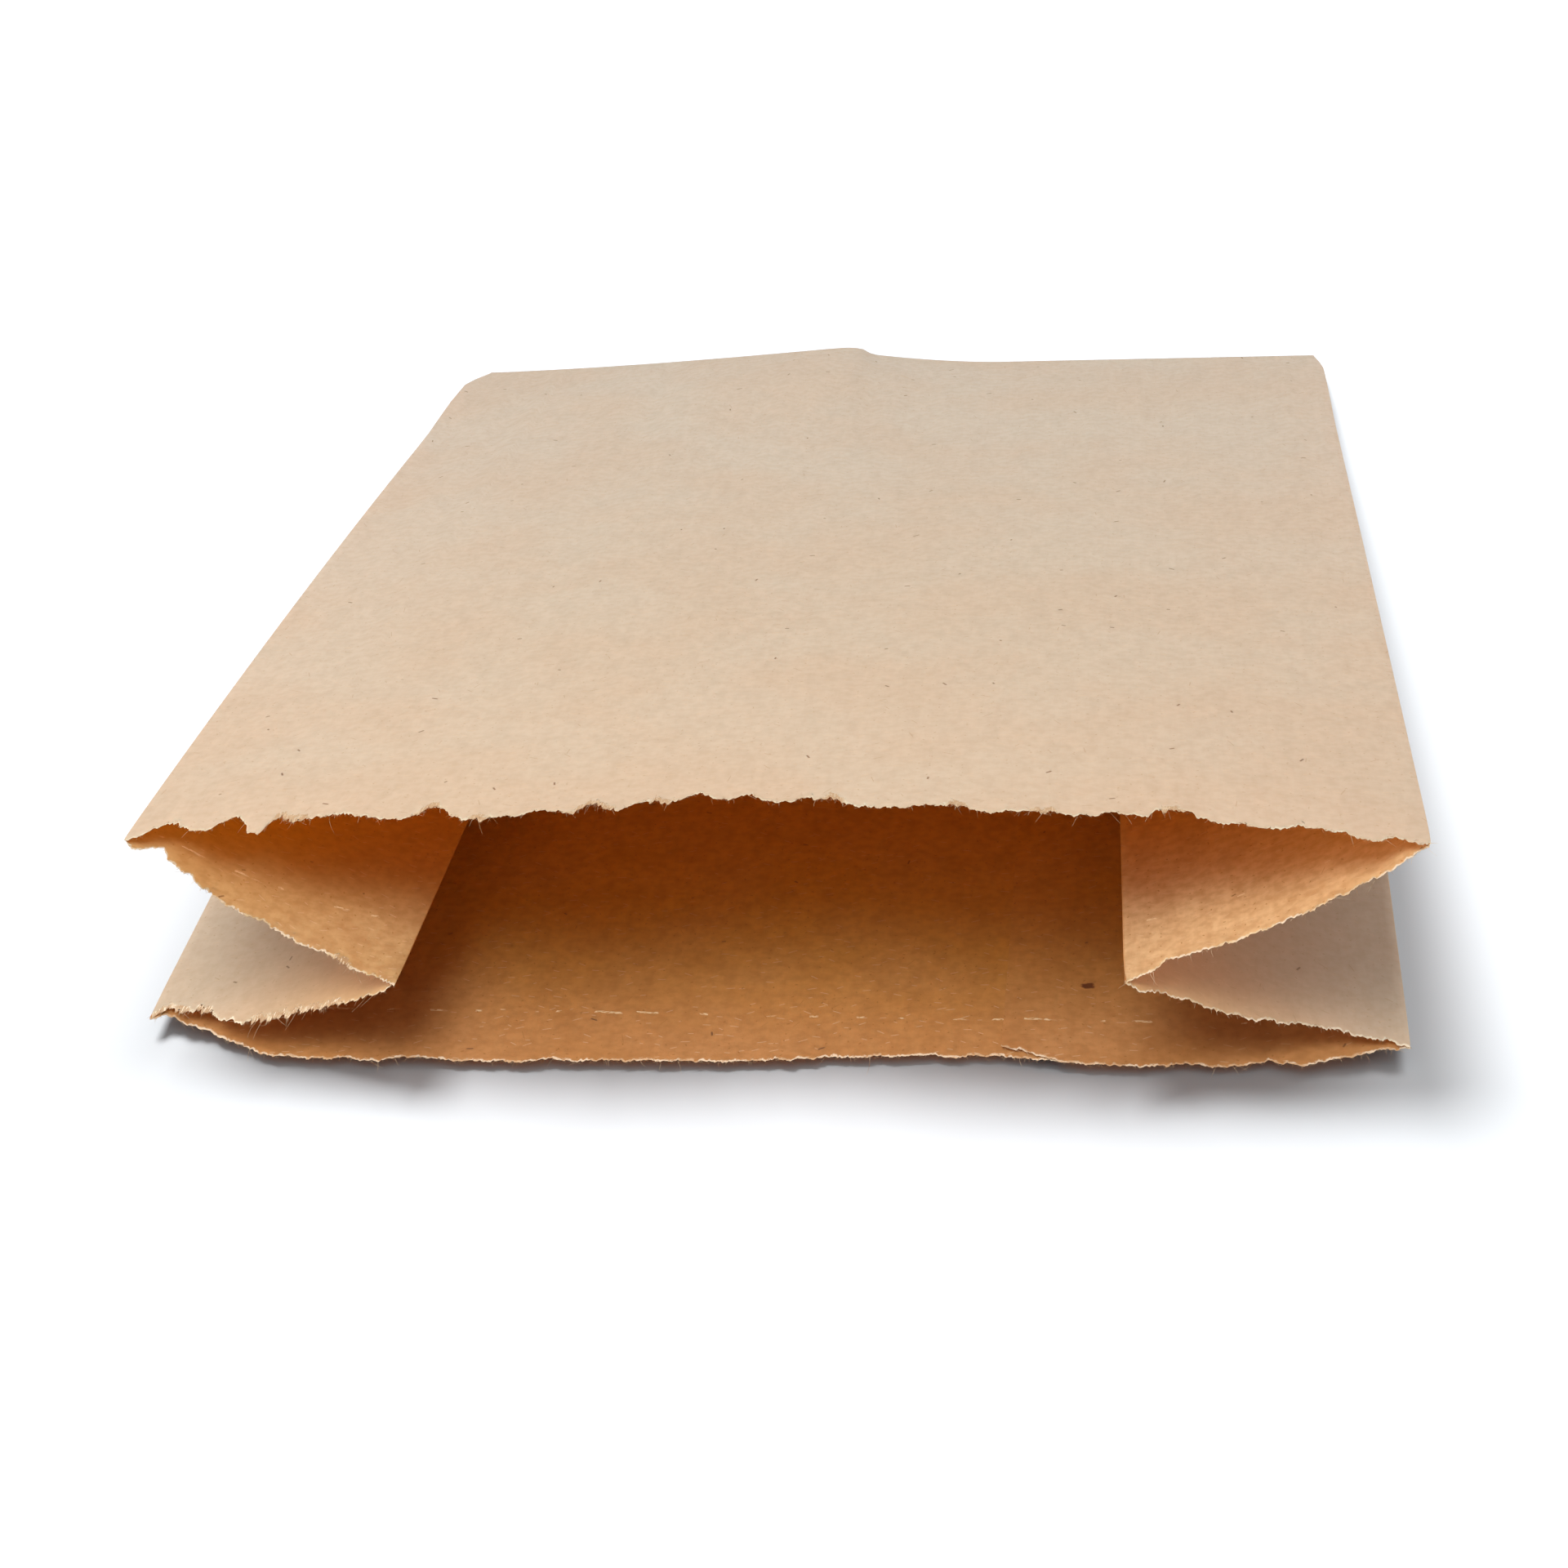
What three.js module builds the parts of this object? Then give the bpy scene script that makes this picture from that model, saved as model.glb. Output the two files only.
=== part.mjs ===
// A flat kraft paper bag lying on its back with its mouth held open. One sheet of paper is wrapped into a
// tube with a glued lap seam down the back, its two sides are tucked in as gussets, and the far end is folded
// under as a glued flap. The mouth is torn, not cut.
// Millimetres, +Z up, +X across the bag, +Y from mouth to bottom.
import * as THREE from "three";

// The flat bag
const WIDTH = 200; // side crease to side crease
const LENGTH = 240; // mouth to bottom crease, along the paper
const GUSSET_DEPTH = 48; // how far each side is tucked in
const PAPER = 0.15; // thickness of the paper
const PLY_GAP = 0.1; // air between plies that lie flat on each other

// The back seam, where one edge of the sheet is glued over the other
const LAP_WIDTH = 10; // overlap of the two edges
const LAP_RAMP = 2; // width over which the upper ply comes down beside the overlap
const LAP_TO_TUCK = 1.7; // from the foot of that ramp to the right tuck
const LAP_STEP = 0.05; // width of the step at each free edge

// The bottom flap, folded under and glued to the back
const FLAP_LENGTH = 20;
const FLAP_GAP = 0.3; // air between the flap and the back panel
const SETTLE_LENGTH = 30; // from the flap's end to where the back panel is down on the floor

// The open mouth, as heights above the floor
const TOP_LEFT_HEIGHT = 38.7;
const TOP_RIGHT_HEIGHT = 41.6;
const TUCK_LEFT_HEIGHT = 18.7;
const TUCK_RIGHT_HEIGHT = 20.6;
const BASE_LEFT_HEIGHT = 6;
const BASE_RIGHT_HEIGHT = 3.7;
const FRONT_DOME = 5; // rise of the front panel's middle above its two corners
const FRONT_BOW = 2; // rise of the front panel's mid-length above a straight line
const GUSSET_SAG = 2.5; // sag of each gusset panel below a straight line
const BASE_CURL = 20; // width of the strip that curls up at each side of the back panel

// The far end, where the closed plies arch off the floor
const ARCH_HEIGHT = 4.8;
const ARCH_PEAK = -9; // across the bag, from its middle
const ARCH_LEFT_REACH = 85;
const ARCH_RIGHT_REACH = 34;
const ARCH_DEPTH = 55; // how far along the bag the arch dies away

// The torn mouth, as setbacks from the full length, spread evenly from each panel's first crease to its last
const TEAR_BACK = [1.7, -1.2, -1.3, -0.6, 0, 1.6, 2.7, 0.6, 0.4, 0.7, 1.9];
const TEAR_LOWER_RIGHT = [1.9, 0, -2, -4.7];
const TEAR_UPPER_RIGHT = [-4.7, -3.5, -3, -0.4];
const TEAR_FRONT = [-0.4, 1.6, 3, 2.8, 3.4, 6.4, 5, 3, 4.2, 5.6, 5.2];
const TEAR_UPPER_LEFT = [5.2, -1, -3, -4.5];
const TEAR_LOWER_LEFT = [-4.5, -2, 0, 1.7];
const TEAR_RIPPLE = 0.7; // size of the small waves on top of those
const TEAR_RIPPLE_LENGTH = 13; // length of one such wave
const RIPPLES_IN_GROUP = 3; // waves that swell and fade together
const MOUTH_STRIP = 8; // width of the first strip of paper behind the torn edge

// How finely the paper is divided
const WIDE_STEPS = 32; // across the front and the back
const GUSSET_STEPS = 8; // across one gusset panel
const CREASE_STEPS = 4; // round one crease
const FLAP_CREASE_STEPS = 4; // round the bottom crease
const BODY_STEPS = 5; // along the bag, from the mouth to where it settles on the floor
const SETTLE_STEPS = 2; // along the bag, from there to the flap's end

// Flat plies: the back, two gusset panels and the front, stacked by one paper and one gap, and creased round
// half that
const PLIES = 4;
const PLY_PITCH = PAPER + PLY_GAP;
const CREASE_RADIUS = PLY_PITCH / 2;
const FLAP_RADIUS = (PAPER + FLAP_GAP) / 2;
const CREASE_X = WIDTH / 2 - PAPER / 2 - CREASE_RADIUS;
const FLAT_TUCK_X = WIDTH / 2 - GUSSET_DEPTH;
const FLAP_AXIS_HEIGHT = PAPER / 2 + (PLIES - 1) * PLY_PITCH + FLAP_RADIUS;
const FLAP_HEIGHT = FLAP_AXIS_HEIGHT + FLAP_RADIUS - PAPER / 2; // floor to the plies that lie on the flap
const LAP_END_X = FLAT_TUCK_X - LAP_TO_TUCK - LAP_RAMP;
const LAP_START_X = LAP_END_X - LAP_WIDTH;

// A crease turns the paper to the left at an outer corner and to the right at a tuck, seen from the mouth
const CORNER = 1;
const TUCK = -1;

// Values spread evenly over 0 to 1, read at any place between by a straight line
function readAlong(values, share) {
  const place = share * (values.length - 1);
  const low = Math.min(Math.floor(place), values.length - 2);
  return THREE.MathUtils.lerp(values[low], values[low + 1], place - low);
}

// The direction, as an angle, of the panel that runs from one crease to the next
function panelHeading(from, to) {
  const across = to.x - from.x;
  const up = to.z - from.z;
  const slip = (from.turn - to.turn) * CREASE_RADIUS;
  return Math.atan2(up, across) + Math.asin(slip / Math.hypot(across, up));
}

// Outward side of paper that runs in a direction
const outward = (angle) => new THREE.Vector2(Math.sin(angle), -Math.cos(angle));

// Where paper that runs in a direction touches a crease
function touch(crease, angle) {
  const side = outward(angle).multiplyScalar(crease.turn * CREASE_RADIUS);
  return new THREE.Vector2(crease.x, crease.z).add(side);
}

// The places along the back panel, with the free edges of the lap seam among them
function backStations(first, last) {
  const even = Array.from({ length: WIDE_STEPS + 1 }, (_, i) => i / WIDE_STEPS);
  const seam = [
    { x: LAP_START_X, rise: 0, lift: 0 },
    { x: LAP_START_X + LAP_STEP, rise: PAPER, lift: 0 },
    { x: LAP_END_X, rise: PAPER, lift: 0 },
    { x: LAP_END_X + LAP_STEP, rise: PAPER, lift: PAPER },
    { x: LAP_END_X + LAP_RAMP, rise: 0, lift: 0 },
  ].map((s) => ({ share: (s.x - first) / (last - first), rise: s.rise, lift: s.lift }));
  const clear = LAP_STEP / (last - first);
  const outside = (share) => share < seam[0].share - clear || share > seam.at(-1).share + clear;
  const plain = even.filter(outside).map((share) => ({ share, rise: 0, lift: 0 }));
  return [...plain, ...seam].sort((a, b) => a.share - b.share);
}

// Evenly spread places along a panel
const evenStations = (steps) =>
  Array.from({ length: steps + 1 }, (_, i) => ({ share: i / steps, rise: 0, lift: 0 }));

// The six panels in order round the tube, each from the crease before it to the crease after it
function panelList() {
  const gusset = evenStations(GUSSET_STEPS);
  return [
    { name: "back", stations: backStations(-CREASE_X, CREASE_X), tear: TEAR_BACK },
    { name: "lower", stations: gusset, tear: TEAR_LOWER_RIGHT },
    { name: "upper", stations: gusset, tear: TEAR_UPPER_RIGHT },
    { name: "front", stations: evenStations(WIDE_STEPS), tear: TEAR_FRONT },
    { name: "upper", stations: gusset, tear: TEAR_UPPER_LEFT },
    { name: "lower", stations: gusset, tear: TEAR_LOWER_LEFT },
  ];
}

// The section of the closed tube, with its four plies stacked flat on the folded flap
function flatCreases() {
  const above = (ply) => FLAP_AXIS_HEIGHT + FLAP_RADIUS + ply * PLY_PITCH + CREASE_RADIUS;
  const corner = (side, ply) => ({ x: side * CREASE_X, z: above(ply), turn: CORNER });
  const tuckX = FLAT_TUCK_X + CREASE_RADIUS + PAPER / 2;
  const tuck = (side) => ({ x: side * tuckX, z: above(1), turn: TUCK });
  return [corner(-1, 0), corner(1, 0), tuck(1), corner(1, 2), corner(-1, 2), tuck(-1)];
}

// The section of the open mouth
function mouthCreases() {
  const corner = (side, height) => ({ x: side * CREASE_X, z: height, turn: CORNER });
  const tuck = (side, height, top) => {
    const reach = Math.sqrt(GUSSET_DEPTH ** 2 - (top - height) ** 2);
    return { x: side * (CREASE_X - reach), z: height, turn: TUCK };
  };
  return [
    corner(-1, BASE_LEFT_HEIGHT + PAPER),
    corner(1, BASE_RIGHT_HEIGHT + PAPER),
    tuck(1, TUCK_RIGHT_HEIGHT, TOP_RIGHT_HEIGHT),
    corner(1, TOP_RIGHT_HEIGHT),
    corner(-1, TOP_LEFT_HEIGHT),
    tuck(-1, TUCK_LEFT_HEIGHT, TOP_LEFT_HEIGHT),
  ];
}

// How far a place on a panel of the open mouth lies above the straight line between its creases
function panelRise(panel, share, point) {
  const hump = 4 * share * (1 - share);
  if (panel.name === "front") return FRONT_DOME * hump;
  if (panel.name !== "back") return -GUSSET_SAG * hump;
  const fromEdge = CREASE_X - Math.abs(point.x);
  const curled = Math.min(fromEdge / BASE_CURL, 1);
  return (PAPER / 2 - point.y) * curled;
}

// The middle line of the paper all round a section, as points with their outward side and ply offsets
function sectionRound(creases, panels, open) {
  const round = [];
  const headings = creases.map((crease, i) => panelHeading(crease, creases[(i + 1) % creases.length]));
  panels.forEach((panel, i) => {
    const next = creases[(i + 1) % creases.length];
    const start = touch(creases[i], headings[i]);
    const end = touch(next, headings[i]);
    for (const { share, rise, lift } of panel.stations) {
      const point = start.clone().lerp(end, share);
      if (open) point.y += panelRise(panel, share, point);
      round.push({ point, side: outward(headings[i]), rise, lift, tear: readAlong(panel.tear, share) });
    }
    const nextHeading = headings[(i + 1) % headings.length];
    const turn = THREE.MathUtils.euclideanModulo(next.turn * (nextHeading - headings[i]), 2 * Math.PI);
    for (let step = 1; step < CREASE_STEPS; step++) {
      const angle = headings[i] + (next.turn * turn * step) / CREASE_STEPS;
      const point = touch(next, angle);
      round.push({ point, side: outward(angle), rise: 0, lift: 0, tear: panel.tear.at(-1) });
    }
  });
  return round;
}

// One face of the paper in a section: the outer face, or the inner face
function paperFace(round, inner) {
  return round.map(({ point, side, rise, lift }) => {
    const offset = inner ? -PAPER / 2 - rise : PAPER / 2 - lift;
    return point.clone().addScaledVector(side, offset);
  });
}

// Setback of the torn edge all round the mouth, with small waves that close on themselves
function tearRound(round) {
  let along = 0;
  const distance = round.map(({ point }, i) => {
    if (i > 0) along += point.distanceTo(round[i - 1].point);
    return along;
  });
  const groups = Math.round(along / (TEAR_RIPPLE_LENGTH * RIPPLES_IN_GROUP));
  return round.map(({ tear }, i) => {
    const phase = (2 * Math.PI * groups * distance[i]) / along;
    return tear + TEAR_RIPPLE * Math.sin(phase * RIPPLES_IN_GROUP) * Math.cos(phase);
  });
}

// Distances from the bottom crease, along the paper, at which the bag is divided, from the mouth on
function lengthStations() {
  const settled = FLAP_LENGTH + SETTLE_LENGTH;
  const body = (step) => THREE.MathUtils.lerp(LENGTH, settled, step / BODY_STEPS);
  const settle = (step) => THREE.MathUtils.lerp(settled, FLAP_LENGTH, step / SETTLE_STEPS);
  return [
    LENGTH,
    LENGTH - MOUTH_STRIP,
    ...Array.from({ length: BODY_STEPS }, (_, i) => body(i + 1)),
    ...Array.from({ length: SETTLE_STEPS }, (_, i) => settle(i + 1)),
    FLAP_LENGTH / 2,
    0,
  ];
}

// How far the flap under the closed end holds the plies off the floor, at a distance from the bottom crease
function restHeight(along) {
  return FLAP_HEIGHT * (1 - THREE.MathUtils.smoothstep(along, FLAP_LENGTH, FLAP_LENGTH + SETTLE_LENGTH));
}

// How far the closed end arches off the floor, at a place across the bag and along it from the bottom crease
function archHeight(x, along) {
  const reach = x < ARCH_PEAK ? ARCH_LEFT_REACH : ARCH_RIGHT_REACH;
  const across = Math.max(0, 1 - Math.abs(x - ARCH_PEAK) / reach);
  return ARCH_HEIGHT * across * Math.exp(-((along / ARCH_DEPTH) ** 2));
}

// Rows of one face of the paper, from the torn mouth along the bag, round the bottom crease and back under
function faceRows(flat, mouth, tears) {
  const rows = lengthStations().map((station) =>
    flat.map((far, i) => {
      const near = mouth[i];
      const run = Math.sqrt(LENGTH ** 2 - far.distanceToSquared(near));
      const share = (station / LENGTH) * (1 - tears[i] / LENGTH);
      const x = THREE.MathUtils.lerp(far.x, near.x, share);
      const grounded = far.y - FLAP_HEIGHT;
      const climb = near.y - grounded;
      const bow = FRONT_BOW * 4 * share * (1 - share) * (climb / TOP_LEFT_HEIGHT);
      const along = LENGTH * share;
      const z = grounded + climb * share + bow + restHeight(along) + archHeight(x, along);
      return new THREE.Vector3(x, -run * share, z);
    }),
  );
  for (let step = 1; step <= FLAP_CREASE_STEPS; step++) {
    const angle = (Math.PI * step) / FLAP_CREASE_STEPS;
    rows.push(flat.map((far) => flapPoint(far, angle, 0)));
  }
  rows.push(flat.map((far) => flapPoint(far, Math.PI, FLAP_LENGTH)));
  return rows;
}

// A place on the bottom flap: turned about the bottom crease, then back under the bag
function flapPoint(far, angle, back) {
  const radius = far.y - FLAP_AXIS_HEIGHT;
  const arch = archHeight(far.x, back);
  return new THREE.Vector3(
    far.x,
    radius * Math.sin(angle) - back,
    FLAP_AXIS_HEIGHT + radius * Math.cos(angle) + arch,
  );
}

// Closes the outer and inner faces of the tube into one solid, joined along the mouth and the flap's end
function closedTube(outer, inner) {
  const rows = outer.length;
  const columns = outer[0].length;
  const positions = [...outer.flat(), ...inner.flat()].flatMap((p) => p.toArray());
  const outerAt = (row, column) => row * columns + (column % columns);
  const innerAt = (row, column) => rows * columns + outerAt(row, column);
  const faces = [];
  const quad = (a, b, c, d) => faces.push(a, b, c, a, c, d);
  for (let column = 0; column < columns; column++) {
    const next = column + 1;
    for (let row = 0; row + 1 < rows; row++) {
      quad(outerAt(row, column), outerAt(row + 1, column), outerAt(row + 1, next), outerAt(row, next));
      quad(innerAt(row, column), innerAt(row, next), innerAt(row + 1, next), innerAt(row + 1, column));
    }
    const last = rows - 1;
    quad(outerAt(0, column), outerAt(0, next), innerAt(0, next), innerAt(0, column));
    quad(outerAt(last, column), innerAt(last, column), innerAt(last, next), outerAt(last, next));
  }
  const geometry = new THREE.BufferGeometry();
  geometry.setAttribute("position", new THREE.Float32BufferAttribute(positions, 3));
  geometry.setIndex(faces);
  return geometry;
}

// Moves the middle of the underside to the origin
function standOnOrigin(geometry) {
  geometry.computeBoundingBox();
  const { min, max } = geometry.boundingBox;
  geometry.translate(-(min.x + max.x) / 2, -(min.y + max.y) / 2, -min.z);
  geometry.computeVertexNormals();
  return geometry;
}

function paperBag() {
  const panels = panelList();
  const flat = sectionRound(flatCreases(), panels, false);
  const mouth = sectionRound(mouthCreases(), panels, true);
  const tears = tearRound(mouth);
  const face = (inner) => faceRows(paperFace(flat, inner), paperFace(mouth, inner), tears);
  const kraft = new THREE.MeshStandardMaterial({ color: 0xdcc5aa, roughness: 0.85, metalness: 0 });
  const mesh = new THREE.Mesh(standOnOrigin(closedTube(face(false), face(true))), kraft);
  mesh.name = "paper_bag";
  return mesh;
}

const bag = new THREE.Group();
bag.add(paperBag());

export default bag;
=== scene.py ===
import math
import random
from bisect import bisect_right
from collections import namedtuple
from functools import lru_cache

import bpy
from mathutils import Matrix, Vector, noise


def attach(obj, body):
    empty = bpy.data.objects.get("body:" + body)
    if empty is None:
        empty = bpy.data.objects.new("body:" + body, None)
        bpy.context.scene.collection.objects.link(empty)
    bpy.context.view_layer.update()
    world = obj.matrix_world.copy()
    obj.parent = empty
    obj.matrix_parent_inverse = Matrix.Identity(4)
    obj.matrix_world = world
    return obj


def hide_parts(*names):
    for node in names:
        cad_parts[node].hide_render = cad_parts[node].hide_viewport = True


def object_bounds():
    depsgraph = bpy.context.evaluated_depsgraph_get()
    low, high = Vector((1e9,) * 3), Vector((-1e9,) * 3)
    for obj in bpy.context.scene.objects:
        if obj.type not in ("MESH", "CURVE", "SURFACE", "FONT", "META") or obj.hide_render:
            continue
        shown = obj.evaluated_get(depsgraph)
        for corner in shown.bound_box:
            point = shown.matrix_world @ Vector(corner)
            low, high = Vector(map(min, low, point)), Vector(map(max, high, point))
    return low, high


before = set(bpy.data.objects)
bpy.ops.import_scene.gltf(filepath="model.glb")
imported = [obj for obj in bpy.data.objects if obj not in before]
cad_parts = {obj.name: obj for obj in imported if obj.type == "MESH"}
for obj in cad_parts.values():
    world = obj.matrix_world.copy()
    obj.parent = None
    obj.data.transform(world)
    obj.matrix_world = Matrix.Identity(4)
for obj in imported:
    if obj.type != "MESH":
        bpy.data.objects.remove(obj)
cad_low, cad_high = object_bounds()

# A flat kraft paper bag on its back with its mouth held open. One blank of paper is laid out flat, folded
# into the gusseted tube with its lap seam and its bottom flap, and given its thickness. Loose fibres stand
# along the tear. All lengths are in millimetres, and become metres as they go into the scene.
MM = 0.001

# The flat bag
WIDTH = 200
LENGTH = 240
GUSSET_DEPTH = 48
PAPER = 0.15
PLY_GAP = 0.1

# The back seam, where one edge of the blank is glued over the other
LAP_WIDTH = 10
LAP_RAMP = 2  # width over which the upper ply comes down beside the overlap
LAP_TO_TUCK = 1.7
GLUE = 0.02  # between the two plies of the overlap
LAP_GAPE = 0.5  # how far the upper ply's free corner has come away at the mouth
LAP_GAPE_DEPTH = 9  # how far back from the mouth it has come away

# The bottom flap, folded under and glued to the back
FLAP_LENGTH = 20
FLAP_GAP = 0.3
SETTLE_LENGTH = 30  # from the flap's end to where the back panel is down on the floor
FLAP_WRAP = 2  # width of the strip that bends round the bottom crease

# The open mouth, as heights above the floor
TOP_LEFT_HEIGHT = 38.7
TOP_RIGHT_HEIGHT = 41.6
TUCK_LEFT_HEIGHT = 18.7
TUCK_RIGHT_HEIGHT = 20.6
BASE_LEFT_HEIGHT = 3.5
BASE_RIGHT_HEIGHT = 3.7
BASE_LEFT_SPLAY = 3  # how far the left base corner leans out
TOP_RIGHT_SPLAY = 0.7
FRONT_DOME = 5
FRONT_BOW_LEFT = 2  # rise of the front's left edge at mid-length above a straight line
FRONT_BOW_RIGHT = 0.4
GUSSET_SAG = 2.5
BASE_CURL = 20  # width of the strip that curls up at each side of the back panel
BASE_LIFT = 1.4  # how far the back panel's lip stands off the floor
BASE_LIFT_DEPTH = 45

# The far end, where the closed plies arch off the floor
ARCH_HEIGHT = 4.5
ARCH_PEAK = -9
ARCH_LEFT_REACH = 85
ARCH_RIGHT_REACH = 34
ARCH_LEFT_POWER = 1.5  # how quickly the arch drops on each side
ARCH_RIGHT_POWER = 1.8
ARCH_ROUND = 2.5  # half width of its rounded ridge
ARCH_DEPTH = 55
ARCH_STEP = 1.3  # drop of the small step beside the ridge
ARCH_STEP_X = -6
ARCH_STEP_WIDTH = 3
ARCH_STEP_DEPTH = 12
CORNER_REACH = 12  # width of the strip at each side that is drawn in at the far corners
CORNER_DEPTH = 8
LEFT_CORNER_INSET = 4
RIGHT_CORNER_INSET = 1.5

# The torn mouth: for each panel, setbacks from the full length at distances from the panel's first crease
TEARS = {
    "back_right": [
        (0, 2.7), (2.6, 1.8), (6.5, 0.3), (10, -0.7), (18, -1.2), (27.5, -0.5), (34, -1), (40.5, 0.2),
        (45, -0.8), (48.5, -0.1), (53.5, 0.8), (57, 1.6), (62, 1.7),
    ],
    "lower_right": [
        (0, 1.7), (4, 2.8), (9, 2.7), (17, 1.9), (26.5, 0), (35, -0.7), (40.5, -2), (46.5, -4.5), (48, -4),
    ],
    "upper_right": [
        (0, -4), (3, -2.8), (7, -0.8), (15, -0.4), (25, 0.3), (36, 1.1), (41, 1.9), (45.5, 3.6), (48, 3.6),
    ],
    "front": [
        (0, 3.6), (5, 4.7), (9.3, 3.3), (12.5, 5.2), (21, 6), (32.5, 6.3), (34.5, 8.5), (39, 8.8),
        (40.3, 6.8), (45, 7.3), (49, 5.9), (60, 7), (63.5, 6.2), (69, 7.6), (83.5, 8), (87, 10.8),
        (92, 10.9), (95.6, 9.8), (100.4, 11.8), (103.5, 10.4), (108.6, 12.5), (112.5, 9), (116.5, 9.6),
        (119.7, 6.8), (124, 8.6), (127.3, 6.4), (131.5, 7.8), (136, 6.2), (144, 6.6), (149.5, 10.9),
        (154, 7.9), (168, 10.4), (171.2, 8.9), (175.2, 11.7), (176.9, 5.8), (182.8, 11.9), (186.6, 7.9),
        (193.3, 11.1), (200, 7),
    ],
    "upper_left": [
        (0, 7), (1.4, 6.1), (5.3, 9.6), (7.5, 7), (10, 6), (13, 4.3), (21, 2.1), (34, -0.6), (43, -3.3),
        (48, -4.2),
    ],
    "lower_left": [
        (0, -4.2), (2.5, -5.1), (7, -4), (13, -2.7), (25, -1.2), (29, -1), (31.8, 1.3), (33.4, 1.1),
        (37.5, 3.7), (45, 5.6), (48, 3.2),
    ],
    "back_left": [
        (0, 3.2), (2, 4.8), (8.4, 2.9), (15.4, 0), (21.3, -2.6), (30.5, -3.1), (34.5, -2.6), (37, -3.3),
        (44, -2.5), (60, -2.8), (70, -2.2), (91, -2), (104, -1.2), (114, -0.2), (131, 0.5), (137.5, 1.1),
        (142, 0.2), (149, -0.3),
    ],
}

# Random waves of one size: their length, their height, and the seed of their run
Roughness = namedtuple("Roughness", "length size seed")
NOISE_LEVEL = 0.5  # such a run is read half-way between the noise's grid planes
TEAR_BITES = Roughness(4.5, 0.7, 3)  # rounded bites with points between them
BITE_MIDDLE = 0.25  # share of their size taken off again, so that bites don't move the whole edge
TEAR_WAVES = Roughness(2.1, 0.6, 11)
TEAR_TEETH = Roughness(0.75, 0.75, 23)
TEAR_FRAY = Roughness(0.32, 0.55, 31)

# Share of that roughness on each panel's tear, and how the paper thins towards it
TEAR_SHARES = {"front": 0.85, "upper_left": 0.75, "upper_right": 0.75, "lower_left": 0.8, "lower_right": 0.75}
BACK_TEAR_SHARE = 0.5
TEAR_THIN = 1.2  # width of the strip that thins towards the tear
TEAR_EDGE_SHARE = 0.3  # share of the paper's thickness that is left at the tear

# Where the tear has pulled the paper into ragged tufts, as distances from the panel's first crease
FRAYED = {
    "front": [37, 55.5, 68.5, 87, 113.5, 122, 125.5, 141.5, 150.5, 171.5, 174.5],
    "lower_left": [12, 15.5, 19, 22.5, 26, 38, 42, 46],
    "upper_left": [38],
}
FRAYED_REACH = 2.4
FRAYED_CORE = 0.4  # share of that reach that is fully pulled apart
FRAYED_GROWTH = 0.8  # how much rougher a tuft's edge is

# Soft waves in the paper
LIP_WAVE = Roughness(11, 0.7, 41)  # along the torn lip
LIP_DEPTH = 9
FRONT_WAVE = Roughness(60, 0.8, 7)  # over the front panel

# How finely the blank is divided
COLUMN = 1.6
CREASE_STEPS = 4
FIRST_ROW = 0.8
ROW_GROWTH = 1.17
LAST_ROW = 11
ROOM_FOR_ROW = 1.5  # rows are added while this many still fit before the bottom crease
FAR_ROW = 2  # at the bottom crease
FAR_ROW_GROWTH = 0.25
WRAP_STEPS = 6
FLAP_STEPS = 3
REFINED_DEPTHS = [2.7, 1.3, 0.5]  # strips behind the tear that are divided again
SMOOTH_ANGLE = math.radians(35)  # edges that turn more than this look sharp

# What the blank carries for its finish: each place's position on it, how frayed it is and how far from the
# tear, and the share of the paper's thickness there
SHEET_MAP = "sheet"
TEAR_MAP = "tear"
THICKNESS_GROUP = "thickness"

# Loose fibres: short fuzz all along the tear, longer hairs here and there, and a bunch in each tuft
Strands = namedtuple("Strands", "count shortest longest radius points curl")
FUZZ = Strands(1500, 0.1, 0.65, 0.028, 4, 0.5)
HAIRS = Strands(110, 0.6, 2.4, 0.032, 7, 1.0)
TUFT = Strands(14, 0.25, 0.9, 0.03, 5, 0.9)
LONG_HAIR = Strands(1, 2.4, 3.6, 0.036, 9, 1.0)
LONG_HAIR_PLACES = {
    "lower_left": [2.6, 5, 6.2, 19, 24.2, 25, 25.8],
    "upper_left": [36.5, 40.5],
    "front": [54.5],
}
FIBRE_ROOT = 0.5  # how far behind the tear a fibre starts
FIBRE_STEP = 0.5  # along the tear, to find which way it runs
FIBRE_SLANT = 1.1  # most that a fibre leans along the tear, outwards and inwards, for one step straight out
FIBRE_OUTWARD = 0.5
FIBRE_INWARD = 0.35
FIBRE_BEND_ALONG = 1  # most that its tip bends away
FIBRE_BEND_ASIDE = 0.8
FIBRE_DROOP = 0.3
FIBRE_BEND_LEAST = 0.2  # share of that bend in the straightest fibre
FIBRE_TAPER = 0.7  # share of its radius that a fibre loses towards its tip
SEED = 20

# Creases: plies are stacked by one paper and one gap, and creased round half that
PLIES = 4
PLY_PITCH = PAPER + PLY_GAP
CREASE_RADIUS = PLY_PITCH / 2
FLAP_RADIUS = (PAPER + FLAP_GAP) / 2
CREASE_X = WIDTH / 2 - PAPER / 2 - CREASE_RADIUS
FLAT_TUCK_X = WIDTH / 2 - GUSSET_DEPTH
FLAP_AXIS_HEIGHT = PAPER / 2 + (PLIES - 1) * PLY_PITCH + FLAP_RADIUS
FLAP_HEIGHT = FLAP_AXIS_HEIGHT + FLAP_RADIUS - PAPER / 2
LAP_END_X = FLAT_TUCK_X - LAP_TO_TUCK - LAP_RAMP
LAP_START_X = LAP_END_X - LAP_WIDTH
BOTTOM_CREASE_Y = cad_high.y / MM - (FLAP_RADIUS + (PLIES - 1) * PLY_PITCH + PAPER / 2)

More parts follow.
